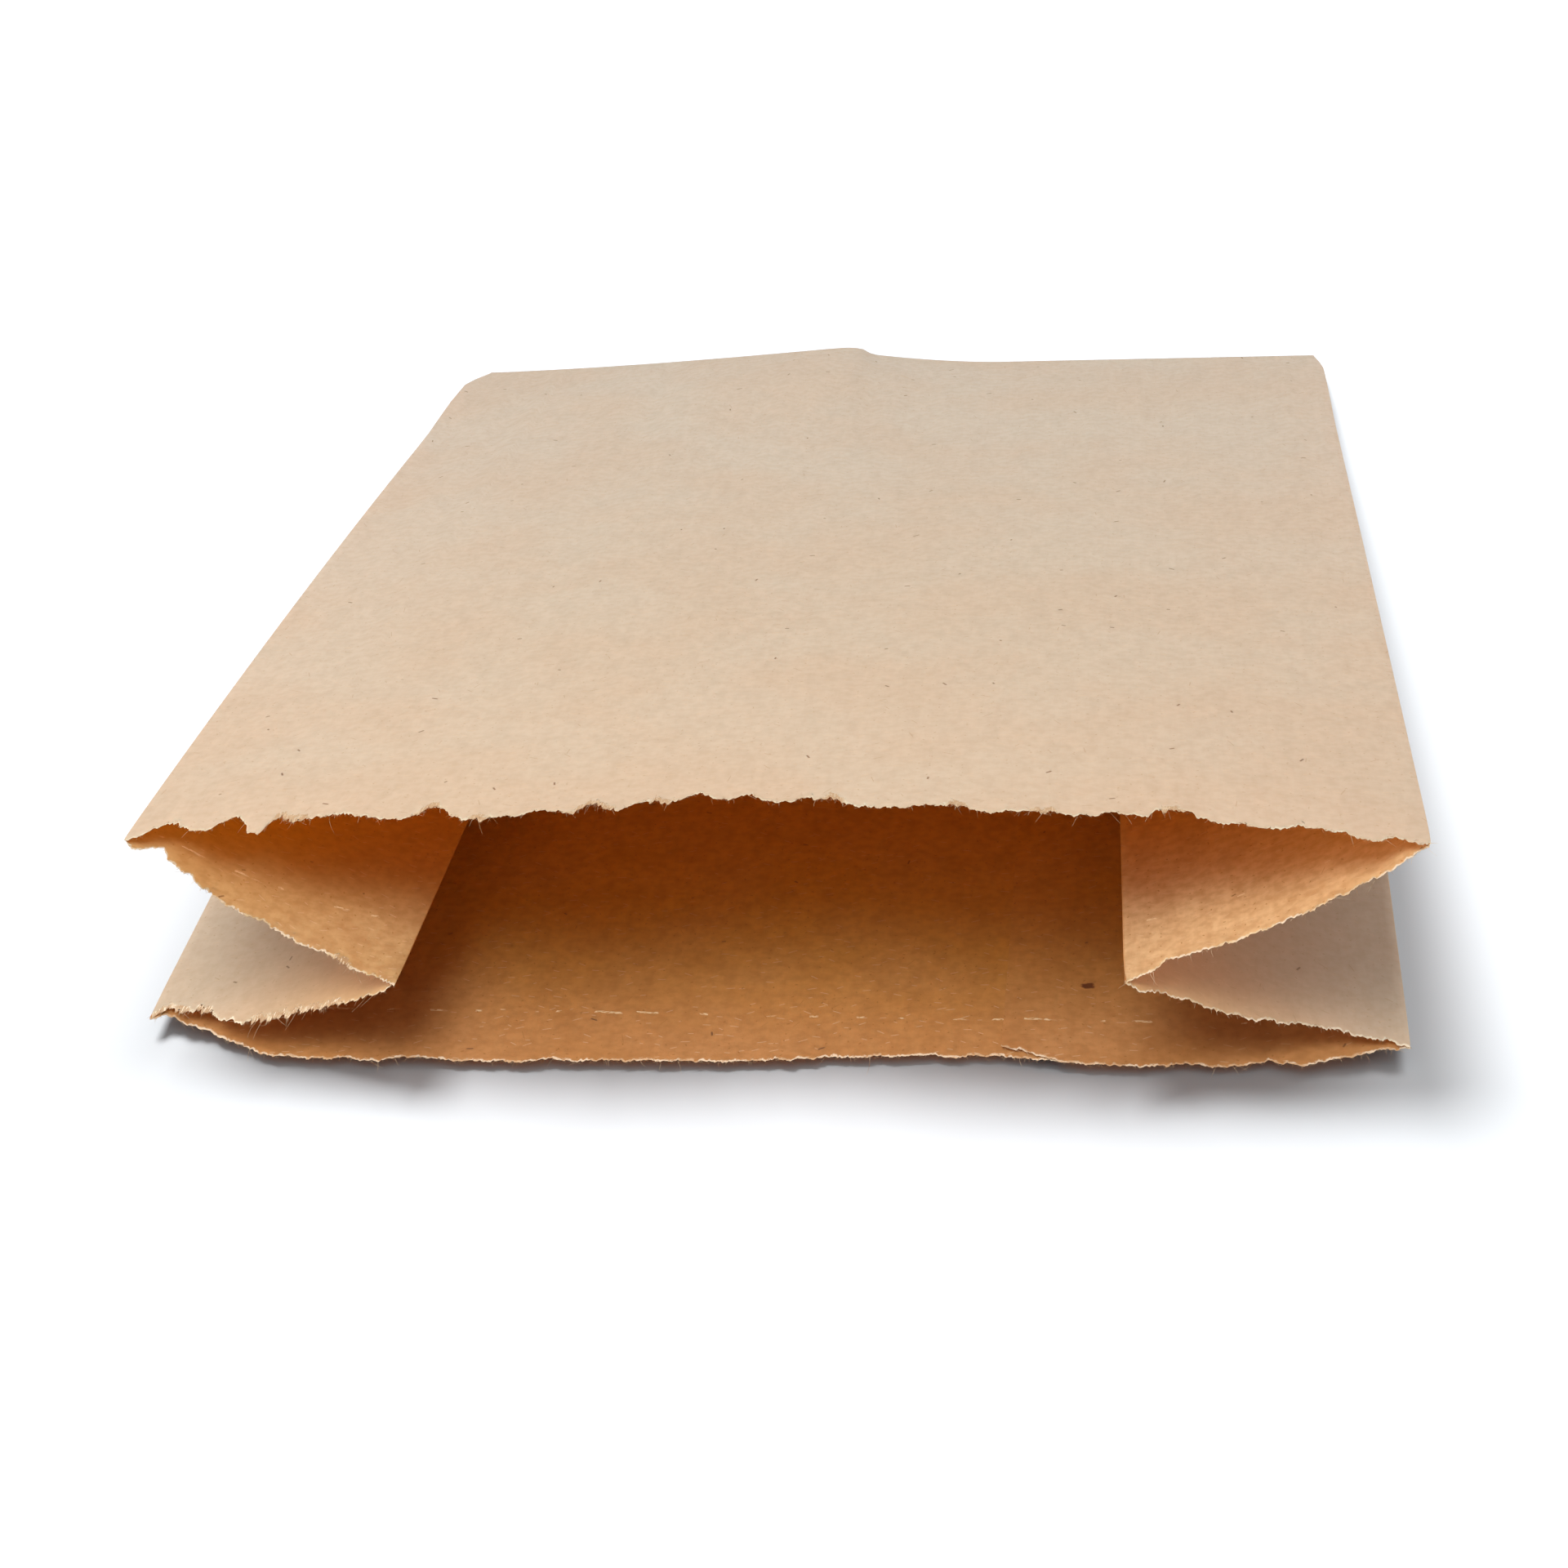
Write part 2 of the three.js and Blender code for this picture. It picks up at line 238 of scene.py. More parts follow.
# The camera, from the photograph
CAMERA_PLACE = (58.28, -408.2, 265.87)
CAMERA_YAW = math.radians(-9.94)
CAMERA_PITCH = math.radians(35.68)
CAMERA_ROLL = math.radians(-5.68)
CAMERA_LENS = 57.1
CAMERA_SENSOR = 36
CAMERA_NEAREST = 10
CAMERA_FURTHEST = 50000

# Light: a white room that is brightest overhead, a large soft lamp above the bag and a weak one low down on
# each side of it, and for the floor two suns from behind, the stronger one to the left
WHITE = (1, 1, 1, 1)
BACKDROP_LEVEL = 1.0
ROOM_OVERHEAD = 0.95
ROOM_LEVEL = 0.12  # at the height of the bag
ROOM_BEHIND = 0.5  # more on the wall behind
KEY_PLACE = (-200, -320, 920)
KEY_SIZE = 600
KEY_POWER = 7.5
LEFT_PLACE = (-560, -200, 180)
LEFT_POWER = 1.4
RIGHT_PLACE = (600, 180, 130)
RIGHT_POWER = 1.0
SIDE_SIZE = 300
FLOOR_LEFT_FROM = (-0.27, 0.34, 1)
FLOOR_LEFT_STRENGTH = 4.6
FLOOR_RIGHT_FROM = (0.3, 0.43, 1)
FLOOR_RIGHT_STRENGTH = 1.4
FLOOR_SUN_ANGLE = math.radians(25)
FLOOR_SIZE = 12000
FLOOR_DROP = 0.1  # the floor lies this far under the paper, so that the two don't share a plane

# Colours, as linear values. Thin kraft lets a share of the light through, warmed by its pulp.
OUTSIDE = (0.655, 0.60, 0.435)
# painted sheen: the outside turns paler and greyer towards the closed end, for the reflection of the white
# room seen at a grazing angle
OUTSIDE_FAR_SHEEN = (0.67, 0.655, 0.52)
OUTSIDE_TUCK_SHADE = (0.60, 0.38, 0.14)  # painted shade and warm bounce light in the bottom of the side folds
# painted shade and warm bounce light: the inside is the same kraft as the outside, coloured darker and more
# orange for the shade inside the bag
INSIDE = (0.55, 0.28, 0.094)
# painted light: deeper in, the inside turns a stronger orange for the light that comes through the paper and
# bounces between its inner faces
INSIDE_FAR_WARM_BOUNCE = (0.71, 0.40, 0.06)
INSIDE_LEFT_LIT = (0.64, 0.47, 0.205)  # painted light on the lips of the upper gussets, stronger on the right-hand one, which faces the light
INSIDE_RIGHT_LIT = (0.85, 0.655, 0.35)
INSIDE_FLECK = (0.28, 0.125, 0.025)
SEE_THROUGH = (1.0, 0.52, 0.03)
SEE_THROUGH_SHARE = 0.34
CORE_SEE_THROUGH = 0.1
TORN = (0.80, 0.65, 0.46)
TORN_BROWN = (0.42, 0.23, 0.09)
PALE_FLECK = (0.82, 0.65, 0.39)
WARM_PULP = (0.66, 0.44, 0.24)
DARK_FLECK = (0.32, 0.19, 0.09)
SPECK = (0.12, 0.065, 0.03)
FIBRE_PALE = (0.70, 0.53, 0.33)
FIBRE_BROWN = (0.36, 0.18, 0.06)
FLOOR_SEEN = (0.482, 0.50, 0.518)
FLOOR_BOUNCE = (0.1, 0.1, 0.1)  # for the light that it throws back at the bag

# Which way the paper turns at a crease, going round the bag
CORNER = 1
TUCK = -1
Crease = namedtuple("Crease", "x z turn")


def read_points(points, place):
    """Reads a list of places and values at any place, rounded at each of them."""
    places = [point[0] for point in points]
    after = min(max(bisect_right(places, place), 1), len(points) - 1)
    (x0, y0), (x1, y1) = points[after - 1], points[after]
    return mix(y0, y1, smooth_step(x0, x1, place))


def smooth_step(low, high, value):
    share = min(max((value - low) / (high - low), 0), 1)
    return share * share * (3 - 2 * share)


def mix(first, second, share):
    return first + (second - first) * share


def wander(place, seed):
    """A smooth random value from -1 to 1 at a place on a line."""
    return noise.noise(Vector((place, seed, NOISE_LEVEL)))


def ripple(kind, place):
    """The height of random waves at a place on a line."""
    return kind.size * wander(place / kind.length, kind.seed)


def hump(share):
    """A rounded rise that is 0 at both ends and 1 half-way."""
    return 4 * share * (1 - share)


class Section:
    """The middle line of the paper round the bag, at its flat end or at its open mouth."""

    def __init__(self, creases):
        self.creases = creases
        self.headings = [self.heading(i) for i in range(len(creases))]

    def after(self, index):
        return self.creases[(index + 1) % len(self.creases)]

    def heading(self, index):
        """Direction, as an angle, of the panel that runs from one crease to the next."""
        start = self.creases[index]
        end = self.after(index)
        across = end.x - start.x
        up = end.z - start.z
        slip = (start.turn - end.turn) * CREASE_RADIUS
        return math.atan2(up, across) + math.asin(slip / math.hypot(across, up))

    @staticmethod
    def touch(crease, angle):
        """Where paper that runs in a direction touches a crease."""
        reach = crease.turn * CREASE_RADIUS
        return Vector((crease.x + reach * math.sin(angle), crease.z - reach * math.cos(angle)))

    def on_panel(self, index, share):
        """A place on a panel, and the paper's direction there."""
        angle = self.headings[index]
        start = self.touch(self.creases[index], angle)
        end = self.touch(self.after(index), angle)
        return start.lerp(end, share), angle

    def on_crease(self, index, share):
        """A place round the crease that starts a panel, and the paper's direction there."""
        crease = self.creases[index]
        before = self.headings[index - 1]
        turn = (crease.turn * (self.headings[index] - before)) % (2 * math.pi)
        angle = before + crease.turn * turn * share
        return self.touch(crease, angle), angle


def flat_section():
    """The closed tube, with its four plies stacked flat on the folded flap."""
    def above(ply):
        return FLAP_AXIS_HEIGHT + FLAP_RADIUS + ply * PLY_PITCH + CREASE_RADIUS

    tuck_x = FLAT_TUCK_X + CREASE_RADIUS + PAPER / 2
    return Section([
        Crease(-CREASE_X, above(0), CORNER),
        Crease(CREASE_X, above(0), CORNER),
        Crease(tuck_x, above(1), TUCK),
        Crease(CREASE_X, above(2), CORNER),
        Crease(-CREASE_X, above(2), CORNER),
        Crease(-tuck_x, above(1), TUCK),
    ])


def mouth_section():
    """The open mouth."""
    def tuck(side, height, top):
        reach = math.sqrt(GUSSET_DEPTH ** 2 - (top - height) ** 2)
        return Crease(side * (CREASE_X - reach), height, TUCK)

    return Section([
        Crease(-CREASE_X - BASE_LEFT_SPLAY, BASE_LEFT_HEIGHT + PAPER, CORNER),
        Crease(CREASE_X, BASE_RIGHT_HEIGHT + PAPER, CORNER),
        tuck(1, TUCK_RIGHT_HEIGHT, TOP_RIGHT_HEIGHT),
        Crease(CREASE_X + TOP_RIGHT_SPLAY, TOP_RIGHT_HEIGHT, CORNER),
        Crease(-CREASE_X, TOP_LEFT_HEIGHT, CORNER),
        tuck(-1, TUCK_LEFT_HEIGHT, TOP_LEFT_HEIGHT),
    ])


FLAT = flat_section()
MOUTH = mouth_section()
BACK, LOWER_RIGHT, UPPER_RIGHT, FRONT, UPPER_LEFT, LOWER_LEFT = range(6)

# A stretch of the blank's width: a panel, or part of one, or a crease
Stretch = namedtuple("Stretch", "name index first last start length")


def girth_stretches():
    """What the blank's width is divided into, from the lap's inner edge round the bag to its outer edge."""
    def back_share(x):
        return (x + CREASE_X) / (2 * CREASE_X)

    parts = [("back_right", BACK, back_share(LAP_START_X), 1)]
    for name, index in [
        ("lower_right", LOWER_RIGHT),
        ("upper_right", UPPER_RIGHT),
        ("front", FRONT),
        ("upper_left", UPPER_LEFT),
        ("lower_left", LOWER_LEFT),
    ]:
        parts += [("crease", index, 0, 1), (name, index, 0, 1)]
    parts += [("crease", BACK, 0, 1), ("back_left", BACK, 0, back_share(LAP_END_X))]
    stretches = []
    start = 0.0
    for name, index, first, last in parts:
        if name == "crease":
            length = math.pi * CREASE_RADIUS
        else:
            length = (FLAT.on_panel(index, last)[0] - FLAT.on_panel(index, first)[0]).length
        stretches.append(Stretch(name, index, first, last, start, length))
        start += length
    return stretches


STRETCHES = girth_stretches()
STARTS = [stretch.start for stretch in STRETCHES]
GIRTH = STRETCHES[-1].start + STRETCHES[-1].length


def girth_of(name, distance):
    """The place on the blank's width at a distance from a panel's first edge."""
    found = next(stretch for stretch in STRETCHES if stretch.name == name)
    return found.start + distance


def open_rise(index, share, place):
    """How far a place on a panel of the open mouth lies above the straight line between its creases."""
    if index == FRONT:
        return FRONT_DOME * hump(share)
    if index != BACK:
        return -GUSSET_SAG * hump(share)
    from_crease = 2 * CREASE_X * min(share, 1 - share)
    return (PAPER / 2 - place.y) * min(from_crease / BASE_CURL, 1)


def frayed_share(name, distance):
    """How far a place on the tear is pulled apart, from 0 to 1."""
    near = [abs(distance - place) for place in FRAYED.get(name, [])]
    return 1 - smooth_step(FRAYED_REACH * FRAYED_CORE, FRAYED_REACH, min(near, default=FRAYED_REACH))


def tear_setback(name, distance, girth, frayed):
    """How far the torn edge is set back from the full length."""
    rough = TEAR_SHARES.get(name, BACK_TEAR_SHARE)
    bites = abs(ripple(TEAR_BITES, girth)) - TEAR_BITES.size * BITE_MIDDLE
    waves = ripple(TEAR_WAVES, girth)
    fine = (ripple(TEAR_TEETH, girth) + ripple(TEAR_FRAY, girth)) * (1 + FRAYED_GROWTH * frayed)
    return read_points(TEARS[name], distance) + rough * (bites + waves + fine)


# What the fold needs to know at one place on the blank's width
Station = namedtuple("Station", "name share far near side run edge gape frayed")


@lru_cache(maxsize=None)
def station(girth):
    stretch = STRETCHES[min(bisect_right(STARTS, girth), len(STRETCHES)) - 1]
    part = min(max((girth - stretch.start) / stretch.length, 0), 1)
    share = mix(stretch.first, stretch.last, part)
    if stretch.name == "crease":
        far, _ = FLAT.on_crease(stretch.index, share)
        near, angle = MOUTH.on_crease(stretch.index, share)
    else:
        far, _ = FLAT.on_panel(stretch.index, share)
        near, angle = MOUTH.on_panel(stretch.index, share)
        near.y += open_rise(stretch.index, share, near)
    gape = 0.0
    if stretch.name == "back_right":
        lift = (PAPER + GLUE) * (1 - smooth_step(LAP_END_X, LAP_END_X + LAP_RAMP, far.x))
        far.y += lift
        near.y += lift
        gape = LAP_GAPE * (1 - smooth_step(LAP_START_X, LAP_END_X, far.x))
    run = math.sqrt(LENGTH ** 2 - (far - near).length_squared)
    panel, distance = stretch.name, girth - stretch.start
    if panel == "crease":
        panel = STRETCHES[STRETCHES.index(stretch) - 1].name
        distance = TEARS[panel][-1][0]
    frayed = frayed_share(panel, distance)
    edge = (LENGTH - tear_setback(panel, distance, girth, frayed)) / run
    side = Vector((math.sin(angle), 0, -math.cos(angle)))
    return Station(stretch.name, share, far, near, side, run, edge, gape, frayed)


def rest_height(along):
    """How far the flap under the closed end holds the plies off the floor."""
    return FLAP_HEIGHT * (1 - smooth_step(FLAP_LENGTH, FLAP_LENGTH + SETTLE_LENGTH, along))


def arch_height(x, along):
    """How far the closed end arches off the floor, at a place across the bag and along it from its end."""
    away = math.hypot(x - ARCH_PEAK, ARCH_ROUND) - ARCH_ROUND
    if x < ARCH_PEAK:
        across = max(0, 1 - away / ARCH_LEFT_REACH) ** ARCH_LEFT_POWER
    else:
        across = max(0, 1 - away / ARCH_RIGHT_REACH) ** ARCH_RIGHT_POWER
    step = ARCH_STEP * smooth_step(ARCH_STEP_X, ARCH_STEP_X + ARCH_STEP_WIDTH, x)
    step *= math.exp(-((along / ARCH_STEP_DEPTH) ** 2))
    return (ARCH_HEIGHT - step) * across * math.exp(-((along / ARCH_DEPTH) ** 2))


def base_lift(x, along):
    """How far the back panel's lip stands off the floor, between its curled sides."""
    between = smooth_step(0, BASE_CURL, CREASE_X - abs(x))
    return BASE_LIFT * between * max(0, 1 - (LENGTH - along) / BASE_LIFT_DEPTH) ** 2


def corner_inset(x, along):
    """How far the sides are drawn in at the far corners."""
    inset = LEFT_CORNER_INSET if x < 0 else RIGHT_CORNER_INSET
    outer = min(max((abs(x) - WIDTH / 2 + CORNER_REACH) / CORNER_REACH, 0), 1)
    end = max(0, 1 - along / CORNER_DEPTH)
    return -math.copysign(inset * outer * end, x)


def flap_point(far, over):
    """A place on the bottom flap: round the bottom crease, then back under the bag."""
    radius = far.y - FLAP_AXIS_HEIGHT
    angle = math.pi * min(over / FLAP_WRAP, 1)
    back = max(0, over - FLAP_WRAP)
    z = FLAP_AXIS_HEIGHT + radius * math.cos(angle) + arch_height(far.x, back)
    return Vector((far.x + corner_inset(far.x, back), radius * math.sin(angle) - back, z))


def paper_waves(at, girth, down, x, y, share):
    """Soft waves: of the torn lip all round, of the front panel, and where the lap has come away."""
    lip = max(0, 1 - down / LIP_DEPTH) ** 2
    if at.name.startswith("back"):
        rise = abs(ripple(LIP_WAVE, x)) * lip
        return Vector((0, 0, rise + at.gape * max(0, 1 - down / LAP_GAPE_DEPTH) ** 2))
    wave = at.side * ripple(LIP_WAVE, girth) * lip
    if at.name == "front":
        swell = noise.noise(Vector((x / FRONT_WAVE.length, y / FRONT_WAVE.length, FRONT_WAVE.seed)))
        wave.z += FRONT_WAVE.size * swell * math.sin(math.pi * at.share) * share
    return wave


def paper_point(girth, down):
    """Where a place on the flat blank lies on the folded bag, by its girth and its distance from the tear."""
    at = station(girth)
    if down > LENGTH:
        place = flap_point(at.far, down - LENGTH)
    else:
        share = at.edge * (1 - down / LENGTH)
        along = LENGTH * share
        x = mix(at.far.x, at.near.x, share)
        y = -at.run * share
        grounded = at.far.y - FLAP_HEIGHT
        climb = at.near.y - grounded
        side_bow = mix(FRONT_BOW_LEFT, FRONT_BOW_RIGHT, x / WIDTH + 0.5)
        bow = side_bow * hump(share) * climb / TOP_LEFT_HEIGHT
        z = grounded + climb * share + bow + rest_height(along) + arch_height(x, along)
        if at.name.startswith("back"):
            z += base_lift(x, along)
        place = Vector((x + corner_inset(x, along), y, z)) + paper_waves(at, girth, down, x, y, share)
    return (place + Vector((0, BOTTOM_CREASE_Y, 0))) * MM


def column_places():
    """Places on the blank's width at which it is divided, with every crease among them."""
    places = []
    for stretch in STRETCHES:
        steps = CREASE_STEPS if stretch.name == "crease" else math.ceil(stretch.length / COLUMN)
        places += [stretch.start + stretch.length * step / steps for step in range(steps)]
    return places + [GIRTH]


def row_places():
    """Distances from the tear at which the blank is divided, fine at the tear and at the bottom crease."""
    rows = [0.0]
    step = FIRST_ROW
    while rows[-1] + ROOM_FOR_ROW * step < LENGTH:
        rows.append(rows[-1] + step)
        step = min(step * ROW_GROWTH, LAST_ROW, FAR_ROW + FAR_ROW_GROWTH * (LENGTH - rows[-1]))
    rows += [LENGTH + FLAP_WRAP * step / WRAP_STEPS for step in range(WRAP_STEPS)]
    rows += [LENGTH + FLAP_WRAP + FLAP_LENGTH * step / FLAP_STEPS for step in range(FLAP_STEPS + 1)]
    return rows


def flat_blank():
    """The blank as it is cut, lying flat: its width along X, and the distance from the tear along -Y."""
    columns = column_places()
    rows = row_places()
    bpy.ops.mesh.primitive_grid_add(x_subdivisions=len(columns) - 1, y_subdivisions=len(rows) - 1, size=1)
    blank = bpy.context.object
    blank.name = "kraft_sheet"
    for vertex in blank.data.vertices:
        row, column = divmod(vertex.index, len(columns))
        vertex.co = (columns[column], -rows[-1 - row], 0)
    for depth in REFINED_DEPTHS:
        divide_near_tear(blank, depth)
    return blank


def divide_near_tear(blank, depth):
    """Divides the faces of the flat blank that lie within a depth of the tear."""
    bpy.ops.object.mode_set(mode="EDIT")
    bpy.ops.mesh.select_mode(type="FACE")
    bpy.ops.mesh.select_all(action="DESELECT")
    bpy.ops.object.mode_set(mode="OBJECT")
    for face in blank.data.polygons:
        face.select = -face.center.y < depth
    bpy.ops.object.mode_set(mode="EDIT")
    bpy.ops.mesh.subdivide(number_cuts=1)
    bpy.ops.object.mode_set(mode="OBJECT")


def lay_out_maps(blank):
    """Keeps for the finish each place's position on the blank, how frayed it is and how far from the tear."""
    mesh = blank.data
    for layer in list(mesh.uv_layers):
        mesh.uv_layers.remove(layer)
    sheet_map = mesh.uv_layers.new(name=SHEET_MAP)
    tear_map = mesh.uv_layers.new(name=TEAR_MAP)
    for loop in mesh.loops:
        girth, up, _ = mesh.vertices[loop.vertex_index].co
        at = station(girth)
        sheet_map.data[loop.index].uv = (girth, LENGTH * (1 - at.edge) - up)
        tear_map.data[loop.index].uv = (at.frayed, -up)


def thin_towards_tear(blank):
    """A vertex group for the paper's thickness, which runs out towards the tear."""
    group = blank.vertex_groups.new(name=THICKNESS_GROUP)
    for vertex in blank.data.vertices:
        share = smooth_step(0, TEAR_THIN, -vertex.co.y)
        group.add([vertex.index], mix(TEAR_EDGE_SHARE, 1, share), "REPLACE")


def fold(blank):
    """Takes each place on the flat blank to where it lies on the bag."""
    for vertex in blank.data.vertices:
        vertex.co = paper_point(vertex.co.x, -vertex.co.y)
    blank.data.update()


def thicken(blank, finishes):
    """Gives the folded paper its thickness, with one finish outside, one inside and one on its edges."""
    for finish in finishes:
        blank.data.materials.append(finish)
    solidify = blank.modifiers.new("paper", "SOLIDIFY")
    solidify.thickness = PAPER * MM
    solidify.offset = 0
    solidify.use_rim = True
    solidify.vertex_group = THICKNESS_GROUP
    solidify.material_offset = 1
    solidify.material_offset_rim = 2
    bpy.ops.object.modifier_apply(modifier=solidify.name)
    bpy.ops.object.shade_smooth_by_angle(angle=SMOOTH_ANGLE)


def paper_bag(finishes):
    """The bag, from its flat blank to the thickened paper."""
    blank = flat_blank()
    lay_out_maps(blank)
    thin_towards_tear(blank)
    fold(blank)
    thicken(blank, finishes)
    return blank


def fibre_line(draw, girth, kind):
    """One loose fibre: out of the tear at a slant, with a bend of its own."""
    root = paper_point(girth, FIBRE_ROOT)
    out = (paper_point(girth, 0) - root).normalized()
    along = (paper_point(girth + FIBRE_STEP, FIBRE_ROOT) - root).normalized()
    inward = out.cross(along).normalized()
    slant = along * draw.uniform(-FIBRE_SLANT, FIBRE_SLANT)
    heading = (out + slant + inward * draw.uniform(-FIBRE_OUTWARD, FIBRE_INWARD)).normalized()
    bend = along * draw.uniform(-FIBRE_BEND_ALONG, FIBRE_BEND_ALONG)
    bend += inward * draw.uniform(-FIBRE_BEND_ASIDE, FIBRE_BEND_ASIDE) - Vector((0, 0, FIBRE_DROOP))
    bend *= draw.uniform(FIBRE_BEND_LEAST, 1) * kind.curl
    length = (FIBRE_ROOT + draw.uniform(kind.shortest, kind.longest)) * MM
    steps = [step / (kind.points - 1) for step in range(kind.points)]
    places = [root + (heading * step + bend * step * step) * length for step in steps]
    for place in places:
        place.z = max(place.z, kind.radius * MM)
    return places


def add_strand(curve, draw, girth, kind):
    """Adds one loose fibre to the curve, thinner towards its tip."""
    points = fibre_line(draw, min(max(girth, FIBRE_STEP), GIRTH - 2 * FIBRE_STEP), kind)
    strand = curve.splines.new("POLY")
    strand.points.add(len(points) - 1)
    for index, (point, place) in enumerate(zip(strand.points, points)):
        point.co = (*place, 1)
        point.radius = kind.radius * (1 - FIBRE_TAPER * index / (len(points) - 1))


def torn_fibres(finish):
    """Loose fibres all along the tear, as one curve of many strands, made a mesh."""
    draw = random.Random(SEED)
    curve = bpy.data.curves.new("torn_fibres", "CURVE")
    curve.dimensions = "3D"
    curve.bevel_depth = MM
    curve.bevel_resolution = 0
    for kind in (FUZZ, HAIRS):
        for _ in range(kind.count):
            add_strand(curve, draw, draw.uniform(0, GIRTH), kind)
    for name, places in FRAYED.items():
        for place in places:
            for _ in range(TUFT.count):
                aside = draw.uniform(-FRAYED_REACH, FRAYED_REACH)
                add_strand(curve, draw, girth_of(name, place + aside), TUFT)
    for name, places in LONG_HAIR_PLACES.items():
        for place in places:
            add_strand(curve, draw, girth_of(name, place), LONG_HAIR)
    fibres = bpy.data.objects.new("torn_fibres", curve)
    bpy.context.scene.collection.objects.link(fibres)
    bpy.ops.object.select_all(action="DESELECT")
    fibres.select_set(True)
    bpy.context.view_layer.objects.active = fibres
    bpy.ops.object.convert(target="MESH")
    fibres = bpy.context.object
    fibres.data.materials.append(finish)
    bpy.ops.object.shade_smooth()
    return fibres


class Wire:
    """One output in a material's nodes, used as a number in Python expressions."""

    def __init__(self, tree, socket=None):
        self.tree = tree
        self.socket = socket

    def node(self, kind, settings=None, sockets=None, output=0):
        """Adds a node of any kind, its settings first and then its sockets, and gives one output."""
        made = self.tree.nodes.new(kind)
        for name, value in (settings or {}).items():
            setattr(made, name, value)
        for name, value in (sockets or {}).items():
            if isinstance(value, Wire):
                self.tree.links.new(value.socket, made.inputs[name])
            else:
                made.inputs[name].default_value = value
        return Wire(self.tree, made.outputs[output]) if made.outputs else None

    def beside(self, output):
        """Another output of the node that gives this one."""
        return Wire(self.tree, self.socket.node.outputs[output])

    def parts(self):
        """The three numbers of a vector or a colour."""
        first = self.node("ShaderNodeSeparateXYZ", None, {0: self})
        return first, first.beside(1), first.beside(2)

    def maths(self, operation, first, second=0):
        return self.node("ShaderNodeMath", {"operation": operation}, {0: first, 1: second})

    def __add__(self, other):
        return self.maths("ADD", self, other)

    def __radd__(self, other):
        return self.maths("ADD", other, self)

    def __sub__(self, other):
        return self.maths("SUBTRACT", self, other)

    def __rsub__(self, other):
        return self.maths("SUBTRACT", other, self)

    def __mul__(self, other):
        return self.maths("MULTIPLY", self, other)

    def __rmul__(self, other):
        return self.maths("MULTIPLY", other, self)

    def __truediv__(self, other):
        return self.maths("DIVIDE", self, other)

    def most(self, other):
        return self.maths("MAXIMUM", self, other)

    def ramp(self, low, high):
        """0 below low, 1 above high, and smooth between."""
        settings = {"interpolation_type": "SMOOTHSTEP"}
        return self.node("ShaderNodeMapRange", settings, {0: self, 1: low, 2: high})

    def tint(self, under, over, share):
        """A colour over another, by a share of it."""
        sockets = {0: share}
        for index, colour in ((6, under), (7, over)):
            sockets[index] = colour if isinstance(colour, Wire) else (*colour, 1)
        return self.node("ShaderNodeMix", {"data_type": "RGBA"}, sockets, output=2)


def new_material(name):
    """A material without nodes, and a wire to add them with."""
    material = bpy.data.materials.new(name)
    material.use_nodes = True
    material.node_tree.nodes.clear()
    return material, Wire(material.node_tree)


# A random pattern in the pulp: its size along the blank's width and along its length, its seed, how much fine
# detail it has, and the values between which it goes from none to full
Grain = namedtuple("Grain", "across along seed detail limits", defaults=[None])
CLOUDS = Grain(34, 26, 1, 2.0, (0.32, 0.68))
PULP = Grain(1.9, 1.5, 2, 3.0, (0.3, 0.75))
BLOTCHES = Grain(5, 6, 17, 2.0, (0.4, 0.65))
STREAKS = Grain(0.8, 4.5, 7, 2.0, (0.35, 0.7))
TOOTH = Grain(0.5, 0.3, 6, 1.0)
TEAR_DEPTH = Grain(0.9, 0.9, 8, 3.0)
PULLED = Grain(0.22, 1.3, 10, 1.0, (0.32, 0.46))  # brown strands in the tufts, their brown partly painted shade
BARE_CORE = Grain(4.5, 4.5, 16, 4.0, (0.44, 0.56))  # stretches of the tear where its pale core lies bare
CORE_STRANDS = Grain(0.6, 0.4, 15, 3.0, (0.35, 0.65))
DASH_STRAY = Grain(9, 9, 12, 2.0, (0.4, 0.5))
DASH_BREAKS = Grain(0.8, 0.16, 13, 1.0, (0.38, 0.5))
KNOT_LUMPS = Grain(1.1, 0.7, 14, 1.0)
GRAIN_ROUGHNESS = 0.55
SEED_SHIFT = (7.3, 3.1)  # how far each seed moves a pattern, in its own sizes


def spread(wire, place, size, seed):
    """The blank's own coordinates, counted in a size along its width and along its length."""
    start = (seed * SEED_SHIFT[0], seed * SEED_SHIFT[1], 0)
    scale = (1 / size[0], 1 / size[1], 1)
    return wire.node("ShaderNodeMapping", None, {"Vector": place, "Location": start, "Scale": scale})


def grain(wire, place, kind):
    """A random pattern on the blank, from 0 to 1."""
    spot = spread(wire, place, (kind.across, kind.along), kind.seed)
    sockets = {"Vector": spot, "Scale": 1.0, "Detail": kind.detail, "Roughness": GRAIN_ROUGHNESS}
    return wire.node("ShaderNodeTexNoise", {"noise_dimensions": "2D"}, sockets)


def patches(wire, place, kind):
    """A random pattern as a mask, by its limits."""
    return grain(wire, place, kind).ramp(*kind.limits)


# Strokes of one kind: the size of the cells they are strewn in, their own size, how far they turn from the
# blank's width, the share of the cells that hold one, and the seed of their places
Strokes = namedtuple("Strokes", "cell length width turn share seed")
PALE_FIBRES = Strokes(2.3, 1.3, 0.2, 0.6, 0.45, 3)
DARK_FIBRES = Strokes(5.5, 1.7, 0.13, 1.5, 0.22, 4)
SPECKS = Strokes(9.5, 1.0, 0.36, 1.5, 0.2, 5)
DUST = Strokes(1.7, 0.4, 0.26, 1.5, 0.25, 9)
STROKE_SHORTEST = 0.5  # as a share of the usual length, and the longest is as much longer
STROKE_END = (0.6, 1)  # where a stroke fades out, in half lengths from its middle
STROKE_SIDE = (0.4, 1.2)  # and in half widths
STROKE_CHANCE_BLUR = 0.01


